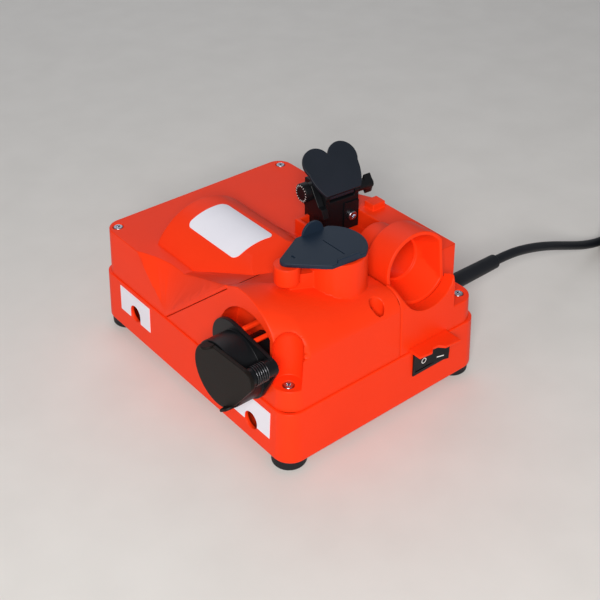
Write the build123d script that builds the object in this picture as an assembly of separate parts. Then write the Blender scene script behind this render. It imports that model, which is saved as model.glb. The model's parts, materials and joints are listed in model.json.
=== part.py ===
from build123d import *
import os
from math import atan2, cos, degrees, dist, hypot, pi, radians, sin, tan

# Bench sharpener for drills and blades. Millimetres, +Z up, +X right, the switch faces -Y.
# The pieces are placed round the middle of the housing on the bench, then the whole
# machine is moved so that its own box (without the cord) is centred on the origin.

# Housing
housing_width = 180.0
housing_depth = 230.0
front_y = -housing_depth / 2
corner_radius = 14.0
draft = 3.0
wall = 3.0
parting_height = 41.5
upper_inset = 1.2
deck_height = 79.0
seam = 0.5
top_limit = 140.0
foot_diameter = 24.0
foot_height = 7.0
post_x = housing_width / 2 - 13.0
post_y = housing_depth / 2 - 14.0
post_radius = 5.5

# Fasteners
screw_shank_radius = 1.8
screw_head_radius = 3.6
screw_head_height = 2.4
screw_grip = 16.0
screw_clearance = 0.3
screw_reach = 12.0
seat_depth = 2.4
foot_screw_length = 14.0
foot_recess = 3.5
slip = 0.05
rest_gap = 0.3

# Drill chamber: arched at the left face, lower where it meets the right half
arch_y = front_y + 54.0
arch_height = 77.0
arch_end_radius = 36.0
arch_full_x = -66.0
arch_full_rise = 30.0
crest_back_y = front_y + 58.0
slope_end_y = 43.0
slope_end_left = 68.7
split_x = 12.0
shoulder_y = front_y + 20.0
shoulder_height = 76.0
shoulder_back_y = front_y + 29.0
slope_end_right = 79.5
valley_y = 27.5
valley_height = 43.0
valley_back_angle = 43.5
valley_front_angle = 40.5
facet_sink = 17.0
facet_stand_off = 1.0
arch_overrun = 0.1
joint_set_off = 1.5
cover_back_y = front_y + 69.0

# Right half of the housing
ridge_x = 62.5
ridge_height = 92.0
ridge_end_y = -5.0
ridge_back_height = 61.0
notch_x = 63.0
notch_y = front_y + 27.0
notch_height = 60.0
channel_radius = 10.0
channel_height = 57.6
channel_top = 87.0
well_back_y = front_y + 82.0
well_left_x = 14.5
cup_x = 40.2
cup_front_y = front_y + 20.0
cup_height = 93.0
cup_yaw = 5.0
cup_tilt = 7.5
cup_radius = 26.5
cup_wall = 2.6
cup_length = 24.0
cup_tail_radius = 17.5
cup_tail_length = 24.0
cup_throat_radius = 16.5
scoop_radius = 25.5
well_hole_x = -5.5
well_hole_y = front_y + 11.3
well_hole_radius = 5.0
well_hole_height = 68.0

# Red brackets beside the gauge
bracket_thickness = 3.0
left_bracket_x = 19.0
left_bracket_y = -5.0
left_bracket_width = 12.0
left_bracket_depth = 16.0
left_bracket_drop = 21.0
right_bracket_x = 69.0
right_bracket_y = -19.0
right_bracket_width = 12.0
right_bracket_depth = 10.0
right_bracket_rise = 5.0

# Motor and wheels on one shaft along Y
shaft_x = -28.0
shaft_height = 57.0
shaft_radius = 5.0
stator_side = 50.0
stator_length = 30.0
stator_y = -13.0
rotor_radius = 15.0
air_gap = 0.5
winding_length = 8.0
shield_thickness = 10.0
shield_side = 54.0
shield_foot_width = 50.0
shield_lip = 2.0
tab_reach = 11.0
tab_thickness = 4.0
motor_pad_height = 6.0
motor_screw_length = 10.0
bearing_radius = 13.0
tie_rod_offset = 21.5
tie_rod_radius = 2.0
fan_radius = 30.0
fan_width = 9.0
drill_wheel_radius = 27.0
drill_wheel_width = 18.0
drill_wheel_y = front_y + 38.0
blade_wheel_radius = 39.0
blade_wheel_width = 10.0
blade_wheel_y = 46.0
flange_radius = 13.0
flange_thickness = 3.0
nut_width = 16.0
nut_thickness = 7.0
collar_radius = 8.0
collar_width = 2.0
shaft_end = 2.0
fan_gap = 2.0
fan_blades = 8
capacitor_x = 50.0
capacitor_y = 40.0
capacitor_radius = 14.0
capacitor_height = 34.0

# Hood over the blade wheel
hood_radius = 45.5
hood_wall = 3.0
hood_end_y = 62.0
hood_front_y = -44.0
hood_fall_y = -13.0
hood_fall_angle = 20.0
label_thickness = 0.4
hood_label_width = 34.0
hood_label_length = 58.0
hood_label_x = -34.5
hood_label_y = 17.0

# Top drill cup and its lid
lid_x = -18.5
lid_y = front_y + 43.0
top_cup_x = -15.2
top_cup_y = front_y + 40.3
top_cup_radius = 20.2
top_cup_wall = 3.0
top_cup_height = 121.0
top_cup_bottom = 87.0
top_pivot_x = -51.0
top_pivot_y = front_y + 47.5
top_lug_radius = 8.7
top_lug_length = 13.0
web_width = 10.0
web_drop = 8.0
web_depth = 13.0
lid_radius = 24.1
lid_flat = 20.3
lid_tip_radius = 4.5
lid_ears = ((-85.0, 17.0, 8.3), (93.0, 17.0, 2.2))
lid_thickness = 2.8
lid_skin = 0.8
lid_ear_thickness = 1.8
lid_pin_radius = 2.4
lid_slit_length = 21.5
lid_slit_width = 0.8
lid_slot_reach = 5.2
lid_slot_width = 3.5

# Left drill port, its sleeve and lid
port_y = front_y + 43.8
port_height = 63.8
recess_y = front_y + 45.0
recess_height = 67.5
recess_radius = 32.0
recess_depth = 15.0
sleeve_radius = 23.5
sleeve_wall = 3.0
sleeve_length = 17.0
sleeve_neck_radius = 14.0
sleeve_neck_wall = 2.5
sleeve_neck_gap = 2.3
flange_lobe_radius = 21.3
flange_lobe_back = 9.8
flange_lobe_up = 6.2
sleeve_flange_thickness = 3.0
sleeve_stand_off = 3.6
left_lid_radius = 22.5
left_lid_tip_radius = 8.0
left_lid_ears = ((80.0, 10.0, 6.0), (-80.0, 12.0, 5.0))
left_pivot_y = front_y + 13.5
left_pivot_height = 79.5
left_lug_radius = 5.8
lid_pin_length = 16.0
rib_reach = 20.5
rib_thickness = 3.0
rib_angles = (92.0, 122.0)

# Blank labels round two dust ports in the left wall
rear_port_y = 67.0
rear_port_height = 23.0
front_port_y = front_y + 39.0
front_port_height = 17.0
port_radius = 6.5
label_width = 40.0
label_height = 21.0
rear_label_lift = 5.0
front_label_lift = 8.5

# Drill setting gauge, square to the setting cup's axis
gauge_front_y = -8.3
gauge_width = 30.0
gauge_depth = 26.0
gauge_front_height = 105.6
gauge_rise = 11.0
gauge_step = 9.0
spindle_set_back = 14.0
spindle_rise = 6.4
spindle_radius = 3.0
knob_radius = 7.2
knob_width = 6.0
lever_thickness = 5.0
flap_pin_set_back = 3.4
flap_pin_radius = 1.5
flap_barrel_radius = 3.2
flap_thickness = 2.4
flap_half_width = 21.5
flap_base_half_width = 15.0
flap_base_drop = 1.7
flap_length = 35.0
flap_notch = 27.9
flap_lean = 45.0
ear_width = 4.0
ear_radius = 4.2
wing_width = 13.0
wing_radius = 4.0
wing_reach = 7.5
wing_lean = 10.0
spring_plate_width = 13.0
spring_plate_drop = 4.2
spring_plate_thickness = 1.0
gauge_screw_x = 8.0

# Switch
switch_x = 40.0
switch_height = 30.5
switch_width = 36.0
switch_tall = 19.6
switch_depth = 26.0
bezel_width = 1.2
bezel_thickness = 1.0
switch_wall = 1.2
rocker_margin = 1.0
rocker_depth = 5.0
rocker_tilt = 8.0
trunnion_radius = 1.2
visor_x = 38.0
visor_left_length = 10.5
visor_right_length = 14.5
visor_width = 36.0
visor_notch = 3.5
visor_thickness = 2.0
visor_lip = 4.0

# Cord, from the strain relief to the coil that is tied up beside the machine
cord_diameter = 7.5
relief_y = front_y + 43.0
relief_length = 62.0
relief_radius = 6.3
relief_tip_radius = 5.6
relief_collar = 2.2
clamp_x = 66.0
clamp_width = 10.0
clamp_length = 26.0
clamp_height = 6.0
terminal_x = 47.0
terminal_length = 20.0
terminal_width = 18.0
terminal_height = 16.0
coil_x = 322.0
coil_y = -68.5
coil_halves = 6
coil_mid_radius = 44.2
coil_gap = 0.6
coil_run_out = 12.0
tail_length = 60.0
tie_width = 6.0
tie_thickness = 1.0
plug_length = 38.0
plug_width = 35.0
plug_height = 14.0
plug_pin_radius = 2.0
plug_pin_length = 19.0
plug_pin_spacing = 18.6

# Heights above the bench
base_z = foot_height
parting_z = base_z + parting_height
deck_z = base_z + deck_height
top_z = base_z + top_limit
shaft_z = base_z + shaft_height
far = 2 * housing_depth


def box(x_low, x_high, y_low, y_high, z_low, z_high):
    size = Box(x_high - x_low, y_high - y_low, z_high - z_low)
    return Pos((x_low + x_high) / 2, (y_low + y_high) / 2, (z_low + z_high) / 2) * size


def rod_x(radius, x_low, x_high, y, z):
    return extrude(Plane((x_low, y, z), z_dir=(1, 0, 0)) * Circle(radius), x_high - x_low)


def rod_y(radius, y_low, y_high, x, z):
    return extrude(Plane((x, y_low, z), z_dir=(0, 1, 0)) * Circle(radius), y_high - y_low)


def rod_z(radius, z_low, z_high, x, y):
    return extrude(Plane((x, y, z_low)) * Circle(radius), z_high - z_low)


def prism_x(points, x_low, x_high):
    outline = Plane.YZ.offset(x_low) * make_face(Polyline(*points, close=True))
    return extrude(outline, x_high - x_low)


def prism_z(sketch, z_low, z_high):
    return extrude(Plane.XY.offset(z_low) * sketch, z_high - z_low)


# Outer and inner forms of the housing

slope = tan(radians(draft))
upper_width = housing_width - 2 * (parting_height * slope + upper_inset)
upper_depth = housing_depth - 2 * (parting_height * slope + upper_inset)


def front_face_y(z):
    return -(upper_depth / 2 - (z - parting_z) * slope)


def left_face_x(z):
    return -(upper_width / 2 - (z - parting_z) * slope)


def lower_form(grow):
    outline = RectangleRounded(housing_width + 2 * grow, housing_depth + 2 * grow, corner_radius + grow)
    return extrude(Plane.XY.offset(base_z) * outline, parting_height, taper=draft)


def upper_block(inset):
    outline = RectangleRounded(upper_width - 2 * inset, upper_depth - 2 * inset, corner_radius - inset)
    return extrude(Plane.XY.offset(parting_z) * outline, top_limit - parting_height, taper=draft)


def chamber_face(x, centre_y, height, run, rise, crest_y, end_height, inset):
    # A quarter ellipse over the front wall, a short crest and a slope down to the back.
    centre_z = base_z + height
    tangent_y = centre_y - run + inset
    crest_z = centre_z + rise - inset
    low_z = parting_z - inset
    front = Polyline((-far, low_z), (-far, centre_z), (tangent_y, centre_z))
    arch = EllipticalCenterArc((centre_y, centre_z), run - inset, rise - inset, 90, arc_size=90)
    back = Polyline((centre_y, crest_z), (crest_y, crest_z), (slope_end_y, base_z + end_height - inset),
                    (slope_end_y, low_z), (-far, low_z))
    return Plane.YZ.offset(x) * make_face(front + arch + back)


def shoulder_face(inset):
    run = shoulder_y - front_face_y(base_z + shoulder_height) + arch_overrun
    return chamber_face(split_x - inset, shoulder_y, shoulder_height, run, run, shoulder_back_y,
                        slope_end_right, inset)


def chamber_form(inset):
    run = arch_y - front_face_y(base_z + arch_height) + arch_overrun
    end = chamber_face(inset - upper_width / 2, arch_y, arch_height, arch_end_radius, arch_end_radius,
                       crest_back_y, slope_end_left, inset)
    full = chamber_face(arch_full_x, arch_y, arch_height, run, arch_full_rise, crest_back_y,
                        slope_end_left, inset)
    return loft([end, full, shoulder_face(inset)], ruled=True)


cup_back = Vector(sin(radians(cup_yaw)) * cos(radians(cup_tilt)),
                  cos(radians(cup_yaw)) * cos(radians(cup_tilt)), -sin(radians(cup_tilt)))
cup_frame = Plane((cup_x, cup_front_y, base_z + cup_height), z_dir=cup_back)
well_floor_z = base_z + cup_height - cup_length * sin(radians(cup_tilt)) - cup_radius - rest_gap


def cup_rod(radius, low, high):
    # A cylinder on the setting cup's axis, which points at the gauge behind it.
    return extrude(cup_frame.offset(low) * Circle(radius), high - low)


def left_of_ridge(shape, gap):
    # The setting cup is flat on its right, where it stands against the ridge.
    return shape & box(-far, ridge_x - gap, -far, far, 0, 2 * top_z)


def before_cup(gap):
    # Everything in front of the setting cup's leaning mouth.
    return cup_frame.offset(-gap) * Box(far, far, far, align=(Align.CENTER, Align.CENTER, Align.MAX))


def shoulder_form(inset):
    return extrude(shoulder_face(inset), upper_width / 2) & before_cup(rest_gap + inset)


def ridge_form(inset):
    top = base_z + ridge_height - inset
    back = base_z + ridge_back_height - inset
    points = [(notch_y + inset, parting_z - inset), (notch_y + inset, top), (ridge_end_y, top),
              (housing_depth / 2, back), (housing_depth / 2, parting_z - inset)]
    return prism_x(points, ridge_x + inset, housing_width / 2)


# The gauge stands square to that axis
gauge_x = cup_x + (gauge_front_y - cup_front_y) * tan(radians(cup_yaw))
gauge_place = Pos(gauge_x, gauge_front_y, 0) * Rot(0, 0, -cup_yaw)
gauge_half = gauge_width / 2


def gauge_pocket(inset):
    gap = rest_gap + inset
    return gauge_place * box(-gauge_half - gap, gauge_half + gap, -gap, gauge_depth + gap, deck_z - inset,
                             2 * top_z)


# A cone with its point just outside the valley's corner meets the left side in two near straight lines
valley_z = base_z + valley_height
facet_half = radians(90 - (valley_back_angle + valley_front_angle) / 2)
facet_middle = radians(90 + (valley_back_angle - valley_front_angle) / 2)
facet_cone = atan2(1 / cos(facet_half) - cos(radians(facet_sink)), sin(radians(facet_sink)))
facet_tilt = facet_cone - radians(facet_sink)
face_up = Vector(sin(radians(draft)), 0, cos(radians(draft)))
face_out = Vector(-cos(radians(draft)), 0, sin(radians(draft)))
facet_axis = ((Vector(0, cos(facet_middle), 0) + face_up * sin(facet_middle)) * cos(facet_tilt)
              + face_out * sin(facet_tilt))


def facet_cut(inset):
    # The hollowed triangle in the left side, between the back corner and the chamber.
    corner = Vector(left_face_x(valley_z), valley_y, valley_z) + face_out * facet_stand_off
    point = corner - facet_axis * (inset / sin(facet_cone))
    cone = Cone(0, housing_depth / 2 * tan(facet_cone), housing_depth / 2,
                align=(Align.CENTER, Align.CENTER, Align.MIN))
    return Plane(point, z_dir=facet_axis) * cone


def screw_niche(inset):
    radius = channel_radius + inset
    top = base_z + channel_top
    column = rod_z(radius, base_z + channel_height - inset, top, -post_x, -post_y)
    return column + Pos(-post_x, -post_y, top) * Sphere(radius)


def housing_form(inset):
    slab = box(-far, far, -far, far, parting_z - inset, deck_z - inset)
    body = slab + chamber_form(inset) + shoulder_form(inset) + ridge_form(inset)
    block = upper_block(inset)
    if inset > 0:
        block += Pos(0, 0, -inset) * block
    body = body & block
    well = box(well_left_x - inset, ridge_x - 2 + inset, -far, well_back_y + inset, well_floor_z - inset,
               2 * top_z)
    body -= well - before_cup(rest_gap + inset)
    body -= box(notch_x - inset, far, -far, notch_y + inset, base_z + notch_height - inset, 2 * top_z)
    body -= screw_niche(inset)
    body -= gauge_pocket(inset)
    body -= left_of_ridge(cup_rod(cup_radius + rest_gap + inset, -inset,
                                  cup_length + cup_tail_length + inset), -inset)
    return body - facet_cut(inset)


def cover_zone(gap):
    # The part of the shell that lifts off: left of the split, in front of a joint along the facet.
    run = tan(radians(valley_front_angle))
    joint_low_y = valley_y + (valley_z - parting_z) / run - joint_set_off - gap
    bend_y = cover_back_y - gap
    bend_z = parting_z + (joint_low_y - bend_y) * run
    points = [(-far, 0), (joint_low_y + parting_z / run, 0), (bend_y, bend_z), (bend_y, 2 * top_z),
              (-far, 2 * top_z)]
    return prism_x(points, -far, split_x - gap)


outer_form = housing_form(0)
shell = outer_form - housing_form(wall)
floor_z = base_z + wall

# Each housing screw: where it stands and how high its head sits
cover_posts = [(-post_x, -post_y, base_z + channel_height - seat_depth),
               (well_hole_x, well_hole_y, base_z + well_hole_height)]
upper_posts = [(post_x, -post_y, base_z + notch_height - seat_depth), (-post_x, post_y, deck_z - seat_depth),
               (post_x, post_y, deck_z - seat_depth)]
foot_places = [(x, y) for x in (-post_x, post_x) for y in (-post_y, post_y)]


def join(shapes):
    body = shapes[0]
    for shape in shapes[1:]:
        body += shape
    return body


def group(solids):
    return Compound(list(solids))


def columns(places):
    return join([rod_z(post_radius, parting_z, seat_z, x, y) for x, y, seat_z in places])


def screw_cuts(places):
    shanks = [rod_z(screw_shank_radius + screw_clearance, 0, seat_z, x, y) for x, y, seat_z in places]
    heads = [rod_z(screw_head_radius + screw_clearance, seat_z, seat_z + screw_reach, x, y)
             for x, y, seat_z in places]
    return join(shanks + heads)


def pan_screw(x, y, seat_z, length):
    # A pan head screw standing on its seat, with a cross recess.
    head = rod_z(screw_head_radius, seat_z, seat_z + screw_head_height, x, y)
    head = fillet(head.edges().group_by(Axis.Z)[-1], screw_head_height / 3)
    arm = screw_head_radius / 2
    slot = screw_head_radius / 6
    top = seat_z + screw_head_height
    cross = box(x - arm, x + arm, y - slot, y + slot, top - screw_head_height / 2, top)
    cross += box(x - slot, x + slot, y - arm, y + arm, top - screw_head_height / 2, top)
    return head + rod_z(screw_shank_radius, seat_z - length, seat_z, x, y) - cross


# Lower housing and what stands in it

def lower_front_y(z):
    return -(housing_depth / 2 - (z - base_z) * slope)


def lower_right_x(z):
    return housing_width / 2 - (z - base_z) * slope


switch_z = base_z + switch_height
bezel_back_y = lower_front_y(switch_z - switch_tall / 2)
bezel_front_y = bezel_back_y - bezel_thickness
can_half_width = switch_width / 2 - bezel_width
can_half_tall = switch_tall / 2 - bezel_width
pad_z = floor_z + motor_pad_height
stator_front_y = stator_y - stator_length / 2
stator_back_y = stator_y + stator_length / 2
front_shield_y = stator_front_y - winding_length - shield_thickness
rear_shield_y = stator_back_y + winding_length
tab_half = shield_foot_width / 2 + tab_reach
tab_screw = tab_half - tab_reach / 2
motor_screw_places = [(shaft_x + side * tab_screw, y + shield_thickness / 2)
                      for side in (-1, 1) for y in (front_shield_y, rear_shield_y)]
clamp_screw_places = [(clamp_x, relief_y + side * (clamp_length + cord_diameter) / 4) for side in (-1, 1)]


def lower_housing():
    tub = lower_form(0)
    tub = fillet(tub.edges().group_by(Axis.Z)[0], wall - 0.5)
    tub = fillet(tub.edges().group_by(Axis.Z)[-1], wall / 4)
    cavity = RectangleRounded(housing_width - 2 * wall, housing_depth - 2 * wall, corner_radius - wall)
    tub -= extrude(Plane.XY.offset(floor_z) * cavity, parting_height, taper=draft)
    for x, y, seat_z in cover_posts + upper_posts:
        tub += rod_z(post_radius, base_z + wall / 2, parting_z, x, y)
        tub -= rod_z(screw_shank_radius + slip, parting_z - screw_grip - rest_gap, parting_z, x, y)
    for x, y in foot_places:
        tub -= rod_z(screw_shank_radius + slip, base_z, foot_recess + foot_screw_length + rest_gap, x, y)
    for y in (front_shield_y, rear_shield_y):
        tub += box(shaft_x - tab_half, shaft_x + tab_half, y, y + shield_thickness, floor_z, pad_z)
    for x, y in motor_screw_places:
        tub -= rod_z(screw_shank_radius + slip, pad_z + tab_thickness - motor_screw_length - rest_gap,
                     pad_z, x, y)
    tub += box(clamp_x - clamp_width / 2, clamp_x + clamp_width / 2, relief_y - clamp_length / 2,
               relief_y + clamp_length / 2, floor_z, parting_z)
    for x, y in clamp_screw_places:
        tub -= rod_z(screw_shank_radius + slip, parting_z - screw_grip - rest_gap, parting_z, x, y)
    tub += box(terminal_x - terminal_length / 2, terminal_x + terminal_length / 2,
               relief_y - terminal_width / 2, relief_y + terminal_width / 2, floor_z,
               parting_z - terminal_height / 2)
    tub -= rod_x(cord_diameter / 2 + slip, 0, housing_width / 2 - 2 * wall, relief_y, parting_z)
    tub -= rod_x(relief_radius + slip, housing_width / 2 - 3 * wall, housing_width, relief_y, parting_z)
    for y, height in ((rear_port_y, rear_port_height), (front_port_y, front_port_height)):
        tub -= rod_x(port_radius, -housing_width, -housing_width / 2 + 3 * wall, y, base_z + height)
    tub -= box(switch_x - can_half_width - slip, switch_x + can_half_width + slip, -housing_depth,
               bezel_back_y + 3 * wall, switch_z - can_half_tall - slip, switch_z + can_half_tall + slip)
    return tub


def rubber_feet():
    feet = []
    for x, y in foot_places:
        foot = rod_z(foot_diameter / 2, 0, foot_height, x, y)
        foot = fillet(foot.edges().group_by(Axis.Z)[0], foot_height / 4)
        foot -= rod_z(screw_head_radius + screw_clearance, 0, foot_recess, x, y)
        foot -= rod_z(screw_shank_radius + slip, 0, foot_height, x, y)
        feet.append(foot)
    return group(feet)


def foot_screws():
    screws = []
    for x, y in foot_places:
        head = rod_z(screw_head_radius, foot_recess - screw_head_height, foot_recess, x, y)
        screws.append(head + rod_z(screw_shank_radius, foot_recess, foot_recess + foot_screw_length, x, y))
    return group(screws)


def housing_screws():
    return group(pan_screw(x, y, seat_z, seat_z - parting_z + screw_grip) for x, y,
                 seat_z in cover_posts + upper_posts)


# Upper housing

def upper_housing():
    body = shell - cover_zone(0)
    body += columns(upper_posts)
    body += cup_rod(scoop_radius + wall, -housing_depth / 4, -rest_gap) & (outer_form - cover_zone(0))
    body -= cup_rod(scoop_radius, -housing_depth / 4, 0)
    body -= screw_cuts(upper_posts)
    body -= rod_y(hood_radius - hood_wall - wall / 2, stator_front_y + hood_wall, hood_end_y - hood_wall,
                  shaft_x, shaft_z)
    body -= rod_x(relief_radius + slip, housing_width / 2 - 3 * wall, housing_width, relief_y, parting_z)
    body -= visor_plate(slip)
    x, y = left_bracket_x, left_bracket_y
    body += box(x, x + bracket_thickness, y, y + left_bracket_depth, deck_z - wall,
                left_bracket_z)
    body += box(x, x + left_bracket_width, y + left_bracket_depth - bracket_thickness, y + left_bracket_depth,
                deck_z - wall, left_bracket_z)
    body += box(right_bracket_x, right_bracket_x + right_bracket_width, right_bracket_y,
                right_bracket_y + right_bracket_depth, base_z + ridge_height - wall, right_bracket_z)
    return body


def visor_outline(gap):
    # The front edge runs out to the right and has a notch near its middle.
    face_y = front_face_y(parting_z)
    left = visor_x - visor_width / 2 - gap
    run = visor_width + 2 * gap
    points = [(left, face_y + wall + visor_lip)]
    for part, notch in ((0, 0), (0.3, 0), (0.4, visor_notch), (0.52, visor_notch), (0.62, 0), (1, 0)):
        length = visor_left_length + part * (visor_right_length - visor_left_length)
        points.append((left + part * run, face_y - length + notch))
    points.append((left + run, face_y + wall + visor_lip))
    return make_face(Polyline(*points, close=True))


def visor_plate(gap):
    return prism_z(visor_outline(gap), parting_z, parting_z + visor_thickness)


# Drill chamber cover with the top cup and the recess of the left port

cup_z = base_z + top_cup_height
top_lug_z = cup_z - top_lug_length
port_z = base_z + port_height
recess_z = base_z + recess_height
recess_floor_x = left_face_x(recess_z) + recess_depth
neck_end_x = shaft_x - drill_wheel_radius - sleeve_neck_gap
flange_x = left_face_x(port_z) - sleeve_stand_off
barrel_end_x = flange_x - sleeve_flange_thickness - sleeve_length
top_pivot_reach = dist((lid_x, lid_y), (top_pivot_x, top_pivot_y))
top_pivot_angle = degrees(atan2(top_pivot_y - lid_y, top_pivot_x - lid_x))
web_reach = dist((top_cup_x, top_cup_y), (top_pivot_x, top_pivot_y))
web_angle = degrees(atan2(top_pivot_y - top_cup_y, top_pivot_x - top_cup_x))


def port_recess(grow):
    # The arched hollow over the sleeve, which ends beside the screw channel.
    arch = rod_x(recess_radius + grow, -housing_width, recess_floor_x + grow, recess_y, recess_z)
    arch &= box(-far, far, -far, far, recess_z - grow, top_z)
    return arch - rod_z(channel_radius + wall / 2 - grow / 2, 0, top_z, -post_x, -post_y)


def drill_chamber_cover():
    zone = cover_zone(seam)
    body = shell & zone
    liner = port_recess(wall)
    liner += rod_z(well_hole_radius + wall, base_z + well_hole_height - wall, top_z, well_hole_x, well_hole_y)
    body += liner & outer_form & zone
    body += columns(cover_posts)
    body += rod_z(top_cup_radius, base_z + top_cup_bottom, cup_z, top_cup_x, top_cup_y)
    body += rod_z(top_lug_radius, top_lug_z, cup_z, top_pivot_x, top_pivot_y)
    web_z = cup_z - web_drop
    web = box(0, web_reach, -web_width / 2, web_width / 2, web_z - web_depth, web_z)
    body += Pos(top_cup_x, top_cup_y) * Rot(0, 0, web_angle) * web
    body -= rod_z(top_cup_radius - top_cup_wall, base_z + top_cup_bottom, cup_z, top_cup_x, top_cup_y)
    body -= rod_z(lid_pin_radius + slip, top_lug_z + wall / 2, cup_z, top_pivot_x, top_pivot_y)
    body -= port_recess(0)
    for angle in rib_angles:
        rib = box(flange_x + slip, recess_floor_x + wall / 2, rib_reach, rib_reach + rib_thickness,
                  -rib_thickness / 2, rib_thickness / 2)
        body += Pos(0, recess_y, recess_z) * Rot(angle, 0, 0) * rib
    body -= rod_x(sleeve_neck_radius + slip, flange_x, neck_end_x, port_y, port_z)
    body -= rod_z(well_hole_radius, base_z + well_hole_height, top_z, well_hole_x, well_hole_y)
    return body - screw_cuts(cover_posts)


def lid(radius, flat, reach, tip_radius, ears):
    # A drop shaped plate with an upright ear on each flat side, its pivot socket on local +X.
    outline = make_hull((Circle(radius) + Pos(reach, 0) * Circle(tip_radius)).edges())
    plate = extrude(outline, lid_thickness)
    for angle, width, height in ears:
        plate -= Rot(0, 0, angle) * box(flat, far, -far, far, 0, lid_thickness)
        ear = rod_x(width / 2, flat - lid_ear_thickness, flat, 0, lid_thickness)
        ear &= box(0, far, -far, far, 0, lid_thickness + height)
        plate += Rot(0, 0, angle) * ear
    return plate - rod_z(lid_pin_radius + slip, 0, lid_thickness - lid_skin, reach, 0)


def top_lid():
    body = lid(lid_radius, lid_flat, top_pivot_reach, lid_tip_radius, lid_ears)
    body = Pos(lid_x, lid_y, cup_z + rest_gap) * Rot(0, 0, top_pivot_angle) * body
    low = cup_z + rest_gap + lid_thickness - lid_skin
    half = lid_slit_width / 2
    body -= box(lid_x - half, lid_x + half, lid_y - 0.64 * lid_slit_length, lid_y + 0.36 * lid_slit_length,
                low, top_z)
    x = top_pivot_x + lid_slot_reach
    return body - box(x - lid_slit_width, x + lid_slit_width, top_pivot_y - lid_slot_width / 2,
                      top_pivot_y + lid_slot_width / 2, low, top_z)


def top_lid_pin():
    return rod_z(lid_pin_radius, top_lug_z + wall / 2 + rest_gap, cup_z + lid_thickness - lid_skin,
                 top_pivot_x, top_pivot_y)


left_pivot_z = base_z + left_pivot_height
left_pivot_reach = dist((port_y, port_z), (left_pivot_y, left_pivot_z))
left_lid_frame = Plane((barrel_end_x - rest_gap, port_y, port_z),
                       x_dir=(0, left_pivot_y - port_y, left_pivot_z - port_z), z_dir=(-1, 0, 0))


def left_drill_sleeve():
    body = rod_x(sleeve_radius, barrel_end_x, flange_x, port_y, port_z)
    face = Plane((flange_x - sleeve_flange_thickness, port_y, port_z), x_dir=(0, 1, 0), z_dir=(1, 0, 0))
    lug = Pos(left_pivot_y - port_y, left_pivot_z - port_z) * Circle(left_lug_radius)
    lobe = Pos(flange_lobe_back, flange_lobe_up) * Circle(flange_lobe_radius)
    outline = make_hull((Circle(sleeve_radius + sleeve_wall / 2) + lug + lobe).edges())
    body += extrude(face * outline, sleeve_flange_thickness)
    body += rod_x(left_lug_radius, barrel_end_x, flange_x, left_pivot_y, left_pivot_z)
    body += rod_x(sleeve_neck_radius, flange_x - sleeve_wall, neck_end_x, port_y, port_z)
    body -= rod_x(sleeve_radius - sleeve_wall, barrel_end_x, flange_x - sleeve_wall, port_y, port_z)
    body -= rod_x(sleeve_neck_radius - sleeve_neck_wall, barrel_end_x, neck_end_x, port_y, port_z)
    return body - rod_x(lid_pin_radius + slip, barrel_end_x, barrel_end_x + lid_pin_length + rest_gap,
                        left_pivot_y, left_pivot_z)


def left_lid():
    return left_lid_frame * lid(left_lid_radius, left_lid_radius, left_pivot_reach, left_lid_tip_radius,
                                left_lid_ears)


def left_lid_pin():
    tip = barrel_end_x - lid_thickness + lid_skin
    return rod_x(lid_pin_radius, tip, barrel_end_x + lid_pin_length, left_pivot_y, left_pivot_z)


# Hood, labels, setting cup

def wheel_hood():
    top = Plane((shaft_x, hood_fall_y, shaft_z + hood_radius),
                z_dir=(0, -sin(radians(hood_fall_angle)), cos(radians(hood_fall_angle))))
    lift = Box(far, far, far, align=(Align.CENTER, Align.CENTER, Align.MIN))
    outside = rod_y(hood_radius, hood_front_y, hood_end_y, shaft_x, shaft_z) - top * lift
    inside = rod_y(hood_radius - hood_wall, hood_front_y + hood_wall, hood_end_y, shaft_x, shaft_z)
    inside -= top.offset(-hood_wall) * lift
    above = box(-far, well_left_x - rest_gap, -far, far, parting_z, top_z)
    return (outside - inside) & above - outer_form


def hood_label():
    skin = rod_y(hood_radius + label_thickness, hood_front_y, hood_end_y, shaft_x, shaft_z)
    skin -= rod_y(hood_radius + slip, hood_front_y, hood_end_y, shaft_x, shaft_z)
    outline = Pos(hood_label_x, hood_label_y) * RectangleRounded(hood_label_width, hood_label_length,
                                                                 hood_label_width / 7)
    return skin & prism_z(outline, shaft_z, top_z)


def port_label(y, height, lift):
    # A thin plate round the upper half of a port, open below it.
    port = base_z + height
    middle = port + lift
    plate = box(-housing_width, 0, y - label_width / 2, y + label_width / 2,
                middle - label_height / 2, middle + label_height / 2)
    gap = port_radius + label_thickness
    plate -= rod_x(gap, -housing_width, 0, y, port)
    plate -= box(-housing_width, 0, y - gap, y + gap, base_z, port)
    return (lower_form(label_thickness) - lower_form(0)) & plate


def setting_cup():
    body = cup_rod(cup_radius, 0, cup_length) + cup_rod(cup_tail_radius, cup_length,
                                                        cup_length + cup_tail_length)
    funnel = Cone(cup_radius - cup_wall, cup_throat_radius, cup_length - cup_wall,
                  align=(Align.CENTER, Align.CENTER, Align.MIN))
    body = left_of_ridge(body, rest_gap) - left_of_ridge(cup_frame * funnel, rest_gap + cup_wall)
    return body - cup_rod(cup_tail_radius - cup_wall, 0, cup_length + cup_tail_length)


# Switch: a body clipped into the front wall and a rocker on two trunnions

rocker_y = bezel_front_y + rocker_depth * cos(radians(rocker_tilt)) + rest_gap
pocket_half_width = can_half_width - switch_wall
pocket_half_tall = can_half_tall - switch_wall


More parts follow.
